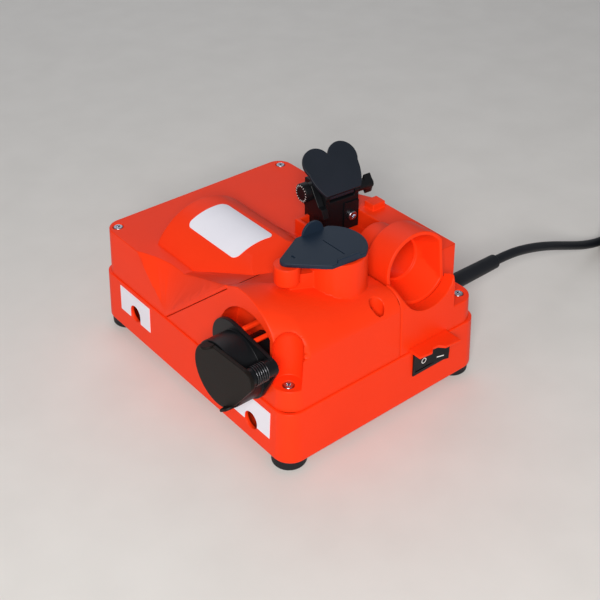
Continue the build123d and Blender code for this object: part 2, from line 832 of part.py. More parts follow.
def switch_body():
    body = box(switch_x - switch_width / 2, switch_x + switch_width / 2, bezel_front_y, bezel_back_y,
               switch_z - switch_tall / 2, switch_z + switch_tall / 2)
    body += box(switch_x - can_half_width, switch_x + can_half_width, bezel_back_y,
                bezel_back_y + switch_depth, switch_z - can_half_tall, switch_z + can_half_tall)
    body -= box(switch_x - pocket_half_width, switch_x + pocket_half_width, bezel_front_y,
                rocker_y + 2 * rocker_depth, switch_z - pocket_half_tall, switch_z + pocket_half_tall)
    trunnion = pocket_half_tall + switch_wall / 2
    return body - rod_z(trunnion_radius + slip, switch_z - trunnion, switch_z + trunnion, switch_x, rocker_y)


def switch_rocker():
    # At rest the left half is pressed in, so the switch is off.
    half = pocket_half_width - rocker_margin
    crown = rocker_depth + half * tan(radians(rocker_tilt))
    outline = Polyline((-half, -crown), (0, -rocker_depth), (half, -crown), (0.75 * half, rocker_depth),
                       (-0.75 * half, rocker_depth), close=True)
    tall = pocket_half_tall - rocker_margin / 2
    body = prism_z(make_face(outline), -tall, tall)
    trunnion = pocket_half_tall + switch_wall / 2 - rest_gap
    body += rod_z(trunnion_radius, -trunnion, trunnion, 0, 0)
    return Pos(switch_x, rocker_y, switch_z) * Rot(0, 0, -rocker_tilt) * body


# Strain relief, clamp and terminal block

collar_draft = (relief_radius + relief_collar) * slope
relief_wall_x = upper_width / 2 - wall - collar_draft
relief_start_x = lower_right_x(parting_z) + collar_draft
relief_tip_x = relief_start_x + relief_length


def strain_relief():
    inner_x = relief_wall_x - rest_gap
    body = rod_x(relief_radius + relief_collar, inner_x - relief_collar, inner_x, relief_y, parting_z)
    body += rod_x(relief_radius, inner_x, relief_start_x + rest_gap, relief_y, parting_z)
    body += rod_x(relief_radius + relief_collar, relief_start_x + rest_gap, relief_start_x + relief_collar,
                  relief_y, parting_z)
    sleeve = Cone(relief_radius, relief_tip_radius, relief_length - relief_collar,
                  align=(Align.CENTER, Align.CENTER, Align.MIN))
    return body + Plane((relief_start_x + relief_collar, relief_y, parting_z), z_dir=(1, 0, 0)) * sleeve


lead_end_x = relief_wall_x - rest_gap - relief_collar


def inner_lead():
    return rod_x(cord_diameter / 2, terminal_x + terminal_length / 2, lead_end_x, relief_y, parting_z)


def cord_clamp():
    body = box(clamp_x - clamp_width / 2, clamp_x + clamp_width / 2, relief_y - clamp_length / 2,
               relief_y + clamp_length / 2, parting_z + rest_gap, parting_z + clamp_height)
    body -= rod_x(cord_diameter / 2 + slip, clamp_x - clamp_width, clamp_x + clamp_width, relief_y, parting_z)
    for x, y in clamp_screw_places:
        body -= rod_z(screw_shank_radius + slip, parting_z, parting_z + clamp_height, x, y)
    return body


def cord_clamp_screws():
    return group(pan_screw(x, y, parting_z + clamp_height, clamp_height + screw_grip) for x,
                 y in clamp_screw_places)


def terminal_block():
    half = terminal_height / 2
    body = box(terminal_x - terminal_length / 2, terminal_x + terminal_length / 2,
               relief_y - terminal_width / 2, relief_y + terminal_width / 2, parting_z - half,
               parting_z + half)
    for side in (-1, 1):
        body -= rod_z(screw_shank_radius, parting_z, parting_z + half, terminal_x,
                      relief_y + side * terminal_width / 4)
    return body


def run_capacitor():
    return rod_z(capacitor_radius, floor_z, floor_z + capacitor_height, capacitor_x, capacitor_y)


# Motor

rod_places = [(shaft_x + a * tie_rod_offset, shaft_z + b * tie_rod_offset) for a in (-1, 1) for b in (-1, 1)]
winding_radius = tie_rod_offset + tie_rod_radius


def rod_holes(y_low, y_high):
    return join([rod_y(tie_rod_radius + slip, y_low, y_high, x, z) for x, z in rod_places])


def stator_core():
    half = stator_side / 2
    core = box(shaft_x - half, shaft_x + half, stator_front_y, stator_back_y, shaft_z - half, shaft_z + half)
    core -= rod_y(rotor_radius + air_gap, stator_front_y, stator_back_y, shaft_x, shaft_z)
    return core - rod_holes(stator_front_y, stator_back_y)


def stator_winding():
    rings = []
    for y in (stator_front_y - winding_length, stator_back_y):
        ring = rod_y(winding_radius, y, y + winding_length, shaft_x, shaft_z)
        rings.append(ring - rod_y(rotor_radius + 2 * air_gap, y, y + winding_length, shaft_x, shaft_z))
    return group(rings)


def end_shield(y, bearing_y):
    half = shield_side / 2
    body = box(shaft_x - half, shaft_x + half, y, y + shield_thickness, shaft_z - half, shaft_z + half)
    body += box(shaft_x - shield_foot_width / 2, shaft_x + shield_foot_width / 2, y, y + shield_thickness,
                pad_z, shaft_z)
    body += box(shaft_x - tab_half, shaft_x + tab_half, y, y + shield_thickness, pad_z, pad_z + tab_thickness)
    body -= rod_y(bearing_radius + slip, bearing_y, bearing_y + shield_thickness - shield_lip, shaft_x,
                  shaft_z)
    body -= rod_y(bearing_radius - shield_lip, y, y + shield_thickness, shaft_x, shaft_z)
    for x, screw_y in motor_screw_places:
        body -= rod_z(screw_shank_radius + slip, pad_z, pad_z + tab_thickness, x, screw_y)
    return body - rod_holes(y, y + shield_thickness)


def bearing(y):
    width = shield_thickness - shield_lip
    ring = rod_y(bearing_radius, y, y + width, shaft_x, shaft_z) - rod_y(shaft_radius + slip, y,
                                                                         y + width, shaft_x, shaft_z)
    groove = rod_y(bearing_radius - shield_lip, y, y + width / 8, shaft_x, shaft_z)
    groove -= rod_y(shaft_radius + shield_lip, y, y + width / 8, shaft_x, shaft_z)
    return ring - groove - Pos(0, width * 7 / 8, 0) * groove


def motor_tie_rods():
    low = front_shield_y
    high = rear_shield_y + shield_thickness
    head = 2 * tie_rod_radius
    rods = []
    for x, z in rod_places:
        rod = rod_y(tie_rod_radius, low, high, x, z)
        rod += rod_y(head, low - tie_rod_radius, low, x, z) + rod_y(head, high, high + tie_rod_radius, x, z)
        rods.append(rod)
    return group(rods)


def motor_foot_screws():
    return group(pan_screw(x, y, pad_z + tab_thickness, motor_screw_length) for x, y in motor_screw_places)


# Rotor: shaft, core, fan and the two wheels between flanges

drill_low_y = drill_wheel_y - drill_wheel_width / 2
drill_high_y = drill_wheel_y + drill_wheel_width / 2
blade_low_y = blade_wheel_y - blade_wheel_width / 2
blade_high_y = blade_wheel_y + blade_wheel_width / 2
shaft_front_y = drill_low_y - flange_thickness - nut_thickness - shaft_end
shaft_back_y = blade_high_y + flange_thickness + nut_thickness + shaft_end
fan_y = rear_shield_y + shield_thickness + fan_gap


def on_shaft(radius, y_low, y_high):
    ring = rod_y(radius, y_low, y_high, shaft_x, shaft_z)
    return ring - rod_y(shaft_radius + slip, y_low, y_high, shaft_x, shaft_z)


def motor_shaft():
    body = rod_y(shaft_radius, shaft_front_y, shaft_back_y, shaft_x, shaft_z)
    front = drill_high_y + flange_thickness
    back = blade_low_y - flange_thickness
    body += rod_y(collar_radius, front, front + collar_width, shaft_x, shaft_z)
    return body + rod_y(collar_radius, back - collar_width, back, shaft_x, shaft_z)


def rotor_core():
    return on_shaft(rotor_radius, stator_front_y, stator_back_y)


def cooling_fan():
    plate = fan_width / 6
    body = on_shaft(fan_radius, fan_y, fan_y + plate) + on_shaft(shaft_radius + flange_thickness, fan_y,
                                                                 fan_y + fan_width)
    blade = box(shaft_radius + flange_thickness / 2, fan_radius, -plate / 2, plate / 2, 0, fan_width)
    frame = Plane((shaft_x, fan_y, shaft_z), z_dir=(0, 1, 0))
    for i in range(fan_blades):
        body += frame * Rot(0, 0, 360 * i / fan_blades) * blade
    return body


def drill_wheel():
    return on_shaft(drill_wheel_radius, drill_low_y, drill_high_y)


def blade_wheel():
    return on_shaft(blade_wheel_radius, blade_low_y, blade_high_y)


def wheel_flanges(y_low, y_high):
    return group([on_shaft(flange_radius, y_low - flange_thickness, y_low),
                  on_shaft(flange_radius, y_high, y_high + flange_thickness)])


def wheel_nuts():
    nuts = []
    for y in (drill_low_y - flange_thickness - nut_thickness, blade_high_y + flange_thickness):
        hexagon = RegularPolygon(nut_width / 2, 6, major_radius=False)
        nut = extrude(Plane((shaft_x, y, shaft_z), z_dir=(0, 1, 0)) * hexagon, nut_thickness)
        nuts.append(nut - rod_y(shaft_radius + slip, y, y + nut_thickness, shaft_x, shaft_z))
    return group(nuts)


# Drill setting gauge, drawn square and then turned to face the setting cup

gauge_step_z = base_z + gauge_front_height
flap_pin_z = gauge_step_z + flap_barrel_radius + 2 * rest_gap
spindle_z = gauge_step_z + spindle_rise
plate_low_z = deck_z + rest_gap
plate_high_z = gauge_step_z - spring_plate_drop
plate_z = (plate_low_z + plate_high_z) / 2
left_bracket_z = spindle_z - left_bracket_drop
right_bracket_z = base_z + ridge_height + right_bracket_rise


def gauge_block():
    body = box(-gauge_half, gauge_half, 0, gauge_depth, deck_z, gauge_step_z)
    body += box(-gauge_half, gauge_half, gauge_step, gauge_depth, gauge_step_z,
                gauge_step_z + gauge_rise)
    for x in (-gauge_half, gauge_half - ear_width):
        body += rod_x(ear_radius, x, x + ear_width, flap_pin_set_back, flap_pin_z)
        body += box(x, x + ear_width, 0, flap_pin_set_back + ear_radius, deck_z, flap_pin_z)
    body -= rod_x(flap_pin_radius + slip, -gauge_half, gauge_half, flap_pin_set_back, flap_pin_z)
    body -= rod_x(spindle_radius + slip, -gauge_half, gauge_half, spindle_set_back, spindle_z)
    body -= rod_y(screw_shank_radius + slip, 0, screw_grip / 2 + rest_gap, gauge_screw_x, plate_z)
    return gauge_place * body


def gauge_spring_plate():
    body = box(gauge_screw_x - spring_plate_width / 2, gauge_screw_x + spring_plate_width / 2,
               -spring_plate_thickness, 0, plate_low_z, plate_high_z)
    body -= rod_y(screw_shank_radius + slip, -spring_plate_thickness, 0, gauge_screw_x, plate_z)
    return gauge_place * body


def gauge_screw():
    upright = pan_screw(0, 0, spring_plate_thickness, spring_plate_thickness + screw_grip / 2)
    return gauge_place * (Plane((gauge_screw_x, 0, plate_z), z_dir=(0, -1, 0)) * upright)


def gauge_flap_pin():
    nut_end = gauge_half + rest_gap + wing_width
    return gauge_place * rod_x(flap_pin_radius, -gauge_half, nut_end, flap_pin_set_back, flap_pin_z)


def gauge_wing_nut():
    low = gauge_half + rest_gap
    body = rod_x(wing_radius, low, low + wing_width, 0, 0)
    for tip in (-wing_reach, wing_reach):
        body += prism_x([(-wing_radius, 0), (0, tip), (wing_radius, 0)], low + wing_width / 2,
                        low + wing_width)
    body -= rod_x(flap_pin_radius + slip, low, low + wing_width, 0, 0)
    return gauge_place * (Pos(0, flap_pin_set_back, flap_pin_z) * Rot(-wing_lean, 0, 0) * body)


def flap_half_outline(side):
    # Half of a heart: a straight base, a swelling side and a round lobe.
    wide = 0.5 * flap_length
    base = side * flap_base_half_width
    edge = Line((0, -flap_base_drop), (base, -flap_base_drop))
    swell = ThreePointArc((base, -flap_base_drop), (side * 0.92 * flap_half_width, 0.45 * wide),
                          (side * flap_half_width, wide))
    lobe = ThreePointArc((side * flap_half_width, wide), (side * 0.6 * flap_half_width, flap_length),
                         (0, flap_notch))
    return edge + swell + lobe


def gauge_flap():
    # The plate lies in front of the block's ears and is carried by a barrel between them.
    outline = make_face(flap_half_outline(1) + flap_half_outline(-1))
    back = ear_radius + rest_gap
    barrel = gauge_half - ear_width - rest_gap
    plate = prism_z(outline, back, back + flap_thickness)
    plate += box(-barrel, barrel, -flap_base_drop, flap_barrel_radius, 0, back + flap_thickness / 2)
    lean = Plane((0, flap_pin_set_back, flap_pin_z), x_dir=(1, 0, 0),
                 z_dir=(0, -cos(radians(flap_lean)), sin(radians(flap_lean))))
    body = lean * plate + rod_x(flap_barrel_radius, -barrel, barrel, flap_pin_set_back, flap_pin_z)
    body -= rod_x(flap_pin_radius + slip, -barrel, barrel, flap_pin_set_back, flap_pin_z)
    return gauge_place * body


lever_x = -gauge_half - rest_gap - lever_thickness
knob_x = lever_x - rest_gap - knob_width


def gauge_knob():
    body = rod_x(knob_radius, knob_x, knob_x + knob_width, spindle_set_back, spindle_z)
    body = chamfer(body.edges(), knob_width / 10)
    body -= rod_x(spindle_radius + slip, knob_x + knob_width / 4, knob_x + knob_width, spindle_set_back,
                  spindle_z)
    return gauge_place * body


def gauge_lever():
    reach = 2.5 * knob_radius
    outline = [(0.4, -0.2), (0.4, -0.7), (-0.3, -1.0), (-1.1, -0.83), (-0.95, -0.45), (-0.72, -0.42),
               (-0.2, 0.3)]
    body = prism_x([(spindle_set_back + y * reach, spindle_z + z * reach) for y, z in outline], lever_x,
                   lever_x + lever_thickness)
    body += rod_x(2 * spindle_radius, lever_x, lever_x + lever_thickness, spindle_set_back, spindle_z)
    body -= rod_x(spindle_radius + slip, lever_x, lever_x + lever_thickness, spindle_set_back, spindle_z)
    return gauge_place * body


def gauge_spindle():
    clip = gauge_half + rest_gap
    body = rod_x(spindle_radius, knob_x + knob_width / 4 + slip, clip + spindle_radius, spindle_set_back,
                 spindle_z)
    body += rod_x(1.6 * spindle_radius, clip, clip + spindle_radius / 2, spindle_set_back, spindle_z)
    return gauge_place * body


# Cord: a free stretch down to the bench, a tied coil of two layers, and the plug

tube_radius = cord_diameter / 2
coil_pitch = cord_diameter + coil_gap
coil_low_z = tie_thickness + rest_gap + coil_gap + tube_radius
coil_high_z = coil_low_z + coil_pitch
coil_radii = [coil_mid_radius + ((coil_halves - 1) / 2 - k) * coil_pitch / 2 for k in range(coil_halves)]
climb_radius = coil_radii[-1] - coil_pitch / 2
plug_z = plug_height / 2
cord_route = [(relief_tip_x, relief_y, parting_z), (168, relief_y, parting_z), (195, -71.5, 42.5),
              (222, -70.5, 33), (248, -69.5, 22), (273, -68.9, 12), (297, coil_y, coil_low_z),
              (coil_x - cord_diameter, coil_y, coil_low_z)]


def bend_radius(before, point, after):
    # The largest arc that leaves a tenth of the shorter run straight at this corner.
    first = Vector(*point) - Vector(*before)
    second = Vector(*after) - Vector(*point)
    shorter = min(first.length, second.length)
    return 0.45 * shorter / tan(radians(first.get_angle(second)) / 2)


def along(path):
    return sweep(Plane(path @ 0, z_dir=path % 0) * Circle(tube_radius), path=path)


def mains_cord():
    radii = [bend_radius(*cord_route[i - 1:i + 2]) for i in range(1, len(cord_route) - 1)]
    path = FilletPolyline(*cord_route, radius=radii)
    tube = along(path)
    print("cord radii", [round(radius) for radius in radii], "length", round(path.length, 1),
          "volume over section times length", round(tube.volume / (path.length * pi * tube_radius ** 2), 4))
    return tube


def half_turn(y, z_low, z_high, side, radius):
    # Half a circle about the coil's middle line, level or tilted to climb a layer.
    reach = hypot(radius, (z_high - z_low) / 2)
    return ThreePointArc((coil_x, y, z_low), (coil_x + side * reach, y - side * radius, (z_low + z_high) / 2),
                         (coil_x, y - side * 2 * radius, z_high))


def coil_path():
    turns = [(radius, coil_low_z, coil_low_z) for radius in coil_radii]
    turns.append((climb_radius, coil_low_z, coil_high_z))
    turns += [(radius, coil_high_z, coil_high_z) for radius in reversed(coil_radii)]
    y = coil_y
    side = 1
    edges = [Line((coil_x - cord_diameter, y, coil_low_z), (coil_x, y, coil_low_z))]
    for radius, z_low, z_high in turns:
        edges.append(half_turn(y, z_low, z_high, side, radius))
        y -= side * 2 * radius
        side = -side
    stops = [(coil_x, y, coil_high_z), (coil_x - coil_run_out, y, coil_high_z),
             (coil_x - coil_run_out - tail_length / 2, y, (coil_high_z + plug_z) / 2),
             (coil_x - coil_run_out - tail_length, y, plug_z),
             (coil_x - coil_run_out - tail_length - cord_diameter, y, plug_z)]
    edges.append(Line(stops[0], stops[1]))
    edges.append(TangentArc(stops[1], stops[2], tangent=(-1, 0, 0)))
    edges.append(TangentArc(stops[2], stops[3], tangent=edges[-1] % 1))
    edges.append(Line(stops[3], stops[4]))
    return Wire(edges), stops[4]


coil_line, plug_start = coil_path()


def least_gap(path, step, apart):
    count = round(path.length / step)
    points = [tuple(path @ (i / count)) for i in range(count + 1)]
    skip = round(apart / step)
    nearest = min(dist(a, b) for i, a in enumerate(points) for b in points[i + skip:])
    return nearest - cord_diameter


def cord_coil():
    tube = along(coil_line)
    print("coil radii", [round(radius, 1) for radius in coil_radii], "climb", round(climb_radius, 1),
          "length", round(coil_line.length, 1), "least gap",
          round(least_gap(coil_line, 1.5, 4 * cord_diameter), 3), "volume over section times length",
          round(tube.volume / (coil_line.length * pi * tube_radius ** 2), 4))
    return tube


def coil_tie():
    outer_y = plug_start[1] - tube_radius - coil_gap
    inner_y = plug_start[1] + coil_halves / 2 * coil_pitch + tube_radius + coil_gap
    top = coil_high_z + tube_radius + coil_gap
    band = box(coil_x - tie_width / 2, coil_x + tie_width / 2, outer_y - tie_thickness,
               inner_y + tie_thickness, rest_gap, top + tie_thickness)
    return band - box(coil_x - tie_width, coil_x + tie_width, outer_y, inner_y, rest_gap + tie_thickness, top)


def pin_rods(radius, root):
    x, y, z = plug_start
    tip = x - plug_length - plug_pin_length
    return [rod_x(radius, tip, x - plug_length + root, y + side * plug_pin_spacing / 2, z)
            for side in (-1, 1)]


def mains_plug():
    x, y, z = plug_start
    nose = plug_width / 4
    half = plug_width / 2
    outline = make_face(Polyline((0, nose), (-plug_length / 3, half), (-plug_length, half),
                                 (-plug_length, -half), (-plug_length / 3, -half), (0, -nose), close=True))
    body = prism_z(outline, -plug_height / 2, plug_height / 2)
    body = fillet(body.edges().filter_by(Axis.Z), plug_height / 5)
    body = fillet(body.edges().group_by(Axis.Z)[-1], plug_height / 8)
    return Pos(x, y, z) * body - join(pin_rods(plug_pin_radius + slip, plug_pin_length / 3 + rest_gap))


def plug_pins():
    return group(fillet(pin.edges().sort_by(Axis.X)[0], plug_pin_radius / 2)
                 for pin in pin_rods(plug_pin_radius, plug_pin_length / 3))


nodes = {
    "lower_housing": lower_housing(),
    "upper_housing": upper_housing(),
    "drill_chamber_cover": drill_chamber_cover(),
    "housing_screws": housing_screws(),
    "rubber_feet": rubber_feet(),
    "foot_screws": foot_screws(),
    "wheel_hood": wheel_hood(),
    "hood_label": hood_label(),
    "rear_port_label": port_label(rear_port_y, rear_port_height, rear_label_lift),
    "front_port_label": port_label(front_port_y, front_port_height, front_label_lift),
    "setting_cup": setting_cup(),
    "left_drill_sleeve": left_drill_sleeve(),
    "left_lid": left_lid(),
    "left_lid_pin": left_lid_pin(),
    "top_lid": top_lid(),
    "top_lid_pin": top_lid_pin(),
    "gauge_block": gauge_block(),
    "gauge_spring_plate": gauge_spring_plate(),
    "gauge_screw": gauge_screw(),
    "gauge_flap": gauge_flap(),
    "gauge_flap_pin": gauge_flap_pin(),
    "gauge_wing_nut": gauge_wing_nut(),
    "gauge_knob": gauge_knob(),
    "gauge_lever": gauge_lever(),
    "gauge_spindle": gauge_spindle(),
    "switch_body": switch_body(),
    "switch_rocker": switch_rocker(),
    "switch_visor": visor_plate(0),
    "terminal_block": terminal_block(),
    "run_capacitor": run_capacitor(),
    "inner_lead": inner_lead(),
    "cord_clamp": cord_clamp(),
    "cord_clamp_screws": cord_clamp_screws(),
    "stator_core": stator_core(),
    "stator_winding": stator_winding(),
    "front_end_shield": end_shield(front_shield_y, front_shield_y + shield_lip),
    "rear_end_shield": end_shield(rear_shield_y, rear_shield_y),
    "front_bearing": bearing(front_shield_y + shield_lip),
    "rear_bearing": bearing(rear_shield_y),
    "motor_tie_rods": motor_tie_rods(),
    "motor_foot_screws": motor_foot_screws(),
    "motor_shaft": motor_shaft(),
    "rotor_core": rotor_core(),
    "cooling_fan": cooling_fan(),
    "drill_wheel": drill_wheel(),
    "drill_wheel_flanges": wheel_flanges(drill_low_y, drill_high_y),
    "blade_wheel": blade_wheel(),
    "blade_wheel_flanges": wheel_flanges(blade_low_y, blade_high_y),
    "wheel_nuts": wheel_nuts(),
    "strain_relief": strain_relief(),
    "mains_cord": mains_cord(),
    "cord_coil": cord_coil(),
    "coil_tie": coil_tie(),
    "mains_plug": mains_plug(),
    "plug_pins": plug_pins(),
}
cord_pieces = ("strain_relief", "mains_cord", "cord_coil", "coil_tie", "mains_plug", "plug_pins")

# The origin is on the bench, under the middle of the machine without its cord
machine = [shape.bounding_box() for name, shape in nodes.items() if name not in cord_pieces]
middle_x = (min(b.min.X for b in machine) + max(b.max.X for b in machine)) / 2
middle_y = (min(b.min.Y for b in machine) + max(b.max.Y for b in machine)) / 2
print("origin moved by", round(-middle_x, 4), round(-middle_y, 4))

os.makedirs("parts", exist_ok=True)
for name, shape in nodes.items():
    export_step(Pos(-middle_x, -middle_y, 0) * shape, f"parts/{name}.step")
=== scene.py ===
import json
from math import cos, pi, radians, sin

import bmesh
import bpy
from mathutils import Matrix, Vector


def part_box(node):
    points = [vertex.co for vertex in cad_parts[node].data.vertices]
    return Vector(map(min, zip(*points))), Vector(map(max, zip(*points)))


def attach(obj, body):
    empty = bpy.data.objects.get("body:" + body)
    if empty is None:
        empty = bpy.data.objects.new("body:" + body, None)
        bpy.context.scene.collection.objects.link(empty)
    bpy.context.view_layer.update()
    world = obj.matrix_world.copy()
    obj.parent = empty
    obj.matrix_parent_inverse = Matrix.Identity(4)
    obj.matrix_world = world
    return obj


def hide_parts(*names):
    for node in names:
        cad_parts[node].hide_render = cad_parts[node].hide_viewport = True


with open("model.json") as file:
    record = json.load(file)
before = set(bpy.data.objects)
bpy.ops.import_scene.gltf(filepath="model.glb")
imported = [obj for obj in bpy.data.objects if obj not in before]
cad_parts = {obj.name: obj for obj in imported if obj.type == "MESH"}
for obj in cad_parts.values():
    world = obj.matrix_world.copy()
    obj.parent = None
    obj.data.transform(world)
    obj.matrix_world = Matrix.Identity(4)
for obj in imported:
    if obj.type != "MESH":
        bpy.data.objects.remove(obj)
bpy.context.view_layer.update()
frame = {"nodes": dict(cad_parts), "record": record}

cad = frame["nodes"]


# Lower housing: the tub that carries everything, injection moulded in red ABS.
# Its faces keep the fine spark grain of the mould, and every edge has a small radius
# so that the part lets go of the tool.
housing_edge = 0.0007


def softened(node, name, edge, steps=2):
    """A copy of a moulded piece with its sharp edges rounded by a small radius."""
    same_point = 2e-6
    same_plane = radians(0.6)
    sharp_edge = radians(28)
    narrow_corner = radians(25)
    shading_break = radians(34)
    least_room = 2.2 * edge
    work = bmesh.new()
    work.from_mesh(cad[node].data)
    bmesh.ops.remove_doubles(work, verts=work.verts, dist=same_point)
    bmesh.ops.dissolve_limit(work, angle_limit=same_plane, verts=work.verts, edges=work.edges)
    rounded = []
    for line in work.edges:
        if len(line.link_faces) != 2 or line.calc_face_angle(0.0) < sharp_edge:
            continue
        corners = [c for face in line.link_faces for c in face.loops if c.vert in line.verts]
        if min(c.calc_angle() for c in corners) < narrow_corner:
            continue
        along = (line.verts[1].co - line.verts[0].co).normalized()
        room = []
        for face in line.link_faces:
            inward = face.normal.cross(along)
            room.append(max(abs((v.co - line.verts[0].co).dot(inward)) for v in face.verts))
        if min(room) > least_room:
            rounded.append(line)
    bmesh.ops.bevel(work, geom=rounded, offset=edge, offset_type="OFFSET", segments=steps,
                    profile=0.5, affect="EDGES", clamp_overlap=False)
    for face in work.faces:
        face.smooth = True
    mesh = bpy.data.meshes.new(name)
    work.to_mesh(mesh)
    work.free()
    mesh.set_sharp_from_angle(angle=shading_break)
    piece = bpy.data.objects.new(name, mesh)
    bpy.context.scene.collection.objects.link(piece)
    even = piece.modifiers.new("even_faces", "WEIGHTED_NORMAL")
    even.keep_sharp = True
    return piece


def moulded_plastic(name, colour, deep, rough, grain=2600.0, depth=0.00002, level=0.5):
    """A moulded plastic: slight clouding of the colour, patchy gloss and a fine mould grain."""
    gloss_change = 0.05
    finish = bpy.data.materials.new(name)
    finish.use_nodes = True
    tree = finish.node_tree
    shader = tree.nodes["Principled BSDF"]
    shader.inputs["Specular IOR Level"].default_value = level
    place = tree.nodes.new("ShaderNodeTexCoord")
    cloud = tree.nodes.new("ShaderNodeTexNoise")
    cloud.inputs["Scale"].default_value = 22.0
    cloud.inputs["Detail"].default_value = 4.0
    tint = tree.nodes.new("ShaderNodeValToRGB")
    tint.color_ramp.elements[0].position = 0.32
    tint.color_ramp.elements[0].color = (*deep, 1.0)
    tint.color_ramp.elements[1].position = 0.68
    tint.color_ramp.elements[1].color = (*colour, 1.0)
    patch = tree.nodes.new("ShaderNodeMapRange")
    patch.inputs["To Min"].default_value = rough - gloss_change
    patch.inputs["To Max"].default_value = rough + gloss_change
    speck = tree.nodes.new("ShaderNodeTexNoise")
    speck.inputs["Scale"].default_value = grain
    speck.inputs["Detail"].default_value = 3.0
    bump = tree.nodes.new("ShaderNodeBump")
    bump.inputs["Strength"].default_value = 0.5
    bump.inputs["Distance"].default_value = depth
    link = tree.links.new
    link(place.outputs["Object"], cloud.inputs["Vector"])
    link(place.outputs["Object"], speck.inputs["Vector"])
    link(cloud.outputs["Fac"], tint.inputs["Fac"])
    link(tint.outputs["Color"], shader.inputs["Base Color"])
    link(cloud.outputs["Fac"], patch.inputs["Value"])
    link(patch.outputs["Result"], shader.inputs["Roughness"])
    link(speck.outputs["Fac"], bump.inputs["Height"])
    link(bump.outputs["Normal"], shader.inputs["Normal"])
    return finish


def finished(piece, finish, body, slot, *stands_for):
    """Gives a finished piece its material and the body it moves with, and hides the nodes it stands for.
    """
    piece.data.materials.clear()
    piece.data.materials.append(finish)
    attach(piece, body)
    if stands_for:
        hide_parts(*stands_for)
    return piece


red_abs = moulded_plastic("red_abs", (0.90, 0.040, 0.0055), (0.86, 0.036, 0.0045), 0.42, level=0.14)
finished(softened("lower_housing", "lower_housing_tub", housing_edge), red_abs, "machine",
         "red_plastic", "lower_housing")


# Rubber feet: four round black buffers, compression moulded, each held under the tub
# by a zinc plated screw in its recess.
foot_edge = 0.0005


def dress(finish, *names):
    """Gives pieces that keep their plain shape a better finish."""
    for name in names:
        for place in cad[name].material_slots:
            place.material = finish


def brushed_metal(name, colour, dull, rough, lay=(1.0, 1.0, 1.0), scale=900.0):
    """A machined or plated metal with fine tool marks drawn out along one direction."""
    gloss_change = 0.07
    finish = bpy.data.materials.new(name)
    finish.use_nodes = True
    tree = finish.node_tree
    shader = tree.nodes["Principled BSDF"]
    shader.inputs["Metallic"].default_value = 1.0
    place = tree.nodes.new("ShaderNodeTexCoord")
    turn = tree.nodes.new("ShaderNodeMapping")
    turn.inputs["Scale"].default_value = lay
    marks = tree.nodes.new("ShaderNodeTexNoise")
    marks.inputs["Scale"].default_value = scale
    marks.inputs["Detail"].default_value = 5.0
    tint = tree.nodes.new("ShaderNodeValToRGB")
    tint.color_ramp.elements[0].position = 0.3
    tint.color_ramp.elements[0].color = (*dull, 1.0)
    tint.color_ramp.elements[1].position = 0.7
    tint.color_ramp.elements[1].color = (*colour, 1.0)
    patch = tree.nodes.new("ShaderNodeMapRange")
    patch.inputs["To Min"].default_value = rough - gloss_change
    patch.inputs["To Max"].default_value = rough + gloss_change
    bump = tree.nodes.new("ShaderNodeBump")
    bump.inputs["Strength"].default_value = 0.3
    bump.inputs["Distance"].default_value = 0.00002
    link = tree.links.new
    link(place.outputs["Object"], turn.inputs["Vector"])
    link(turn.outputs["Vector"], marks.inputs["Vector"])
    link(marks.outputs["Fac"], tint.inputs["Fac"])
    link(tint.outputs["Color"], shader.inputs["Base Color"])
    link(marks.outputs["Fac"], patch.inputs["Value"])
    link(patch.outputs["Result"], shader.inputs["Roughness"])
    link(marks.outputs["Fac"], bump.inputs["Height"])
    link(bump.outputs["Normal"], shader.inputs["Normal"])
    return finish


foot_rubber = moulded_plastic("foot_rubber", (0.009, 0.010, 0.013), (0.006, 0.007, 0.009), 0.62,
                              grain=1500.0, depth=0.00004, level=0.3)
zinc = brushed_metal("zinc_plate", (0.50, 0.52, 0.57), (0.30, 0.31, 0.35), 0.30)
finished(softened("rubber_feet", "rubber_feet_set", foot_edge), foot_rubber, "machine",
         "cord_rubber", "rubber_feet")
dress(zinc, "foot_screws")


# Motor: a laminated stator with copper end windings between two cast end shields,
# drawn together by rods and screwed down to pads in the tub.
lamination = brushed_metal("stator_lamination", (0.34, 0.35, 0.37), (0.16, 0.17, 0.18), 0.48,
                           lay=(0.02, 1.0, 0.02), scale=2200.0)
copper_wire = brushed_metal("enamelled_copper", (0.72, 0.27, 0.10), (0.36, 0.11, 0.04), 0.34,
                            lay=(1.0, 0.25, 1.0), scale=1400.0)
die_cast = brushed_metal("die_cast_aluminium", (0.62, 0.63, 0.64), (0.44, 0.45, 0.46), 0.52, scale=700.0)
ground_steel = brushed_metal("ground_steel", (0.60, 0.61, 0.63), (0.42, 0.43, 0.45), 0.26,
                             lay=(1.0, 0.05, 1.0), scale=1600.0)
dress(lamination, "stator_core", "rotor_core")
dress(copper_wire, "stator_winding")
dress(die_cast, "front_end_shield", "rear_end_shield")
dress(ground_steel, "front_bearing", "rear_bearing", "motor_shaft")
dress(zinc, "motor_tie_rods", "motor_foot_screws")


